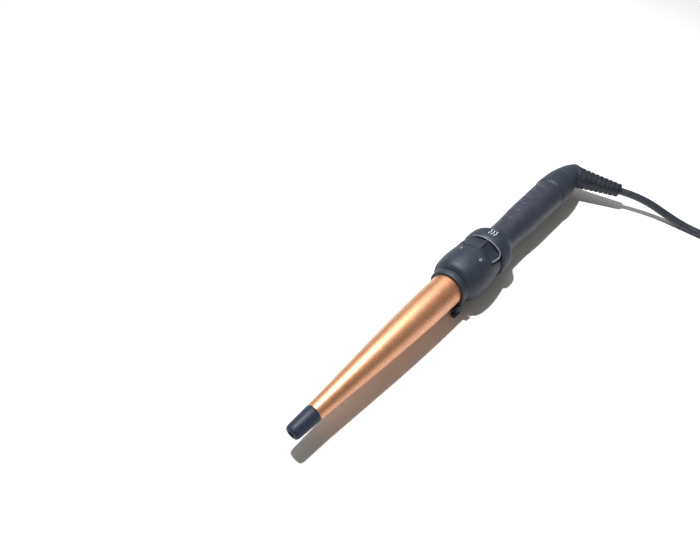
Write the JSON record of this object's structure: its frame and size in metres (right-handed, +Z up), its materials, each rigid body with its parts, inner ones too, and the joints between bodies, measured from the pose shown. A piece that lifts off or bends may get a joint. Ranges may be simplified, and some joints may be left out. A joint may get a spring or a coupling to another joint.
{
  "type": "curling wand",
  "caption": "Cone-barrelled hair curling wand with a rocker switch, a fold-out rest, a swivelling cord boot and a coiled mains lead.",
  "frame": {"origin": "on the table under the middle of the wand's length, with the lead's own pieces left out of that box", "axes": "+X along the wand's axis towards the cool tip, +Z up, +Y towards the side where the cord boot leaves the swivel head at rest"},
  "size_m": [0.3666, 0.2606, 0.0392],
  "materials": {
    "tip_gloss": "polished heat-resistant moulding",
    "barrel_copper": "metallic copper ceramic coat with fine flake",
    "housing_satin": "satin moulded",
    "grip_soft": "soft-touch matte",
    "switch_black": "semi-gloss moulded",
    "cord_pvc": "soft PVC",
    "plug_plastic": "moulded PVC",
    "tie_rubber": "matte",
    "screw_steel": "zinc plated",
    "brass": "drawn",
    "aluminium": "as cast",
    "ceramic": "matte fired",
    "phenolic": "moulded phenolic",
    "board_green": "solder-masked laminate",
    "component_black": "moulded",
    "lead_red": "silicone insulation",
    "lead_blue": "silicone insulation"
  },
  "bodies": {
    "wand": {"cool_tip": "tip_gloss", "tip_screw": "screw_steel", "barrel": "barrel_copper", "tip_anchor": "aluminium", "heat_block_upper": "aluminium", "heat_block_lower": "aluminium", "heater_plate": "ceramic", "temperature_sensor": "ceramic", "thermal_fuse": "aluminium", "collar_ring": "housing_satin", "rest_pin_right": "screw_steel", "rest_pin_left": "screw_steel", "upper_housing": "housing_satin", "lower_housing": "housing_satin", "housing_screw_1": "screw_steel", "housing_screw_2": "screw_steel", "housing_screw_3": "screw_steel", "housing_screw_4": "screw_steel", "barrel_bush": "phenolic", "switch_bezel": "switch_black", "rocker_pin": "screw_steel", "switch_body": "switch_black", "switch_terminal_1": "brass", "switch_terminal_2": "brass", "control_board": "board_green", "triac": "component_black", "capacitor": "component_black", "board_fuse": "ceramic", "heater_lead_1": "lead_red", "heater_lead_2": "lead_blue", "supply_lead_1": "lead_red", "supply_lead_2": "lead_blue", "brush_holder": "phenolic", "brush_inner": "brass", "brush_outer": "brass", "rear_cap": "grip_soft", "swivel_washer": "phenolic", "mains_cord": "cord_pvc", "mains_cord_tail": "cord_pvc", "cord_coil": "cord_pvc", "coil_tie": "tie_rubber", "plug_body": "plug_plastic", "plug_pin_1": "brass", "plug_pin_2": "brass"},
    "rest": {"rest_stand": "housing_satin"},
    "rocker": {"rocker_switch": "switch_black"},
    "swivel": {"swivel_head": "grip_soft", "cord_boot": "cord_pvc", "retaining_ring": "screw_steel", "contact_disc": "phenolic", "slip_ring_inner": "brass", "slip_ring_outer": "brass", "swivel_lead": "cord_pvc"}
  },
  "joints": [
    {"name": "rest_fold", "type": "hinge", "parent": "wand", "child": "rest", "pos_m": [0.0232, 0, 0.0052], "axis": [0, -1, 0], "range_deg": [0, 95]},
    {"name": "rocker_tilt", "type": "hinge", "parent": "wand", "child": "rocker", "pos_m": [-0.0165, 0, 0.0286], "axis": [1, 0, 0], "range_deg": [0, 16]},
    {"name": "cord_swivel", "type": "hinge", "parent": "wand", "child": "swivel", "pos_m": [-0.14, 0, 0.0196], "axis": [1, 0, 0], "continuous": true}
  ]
}
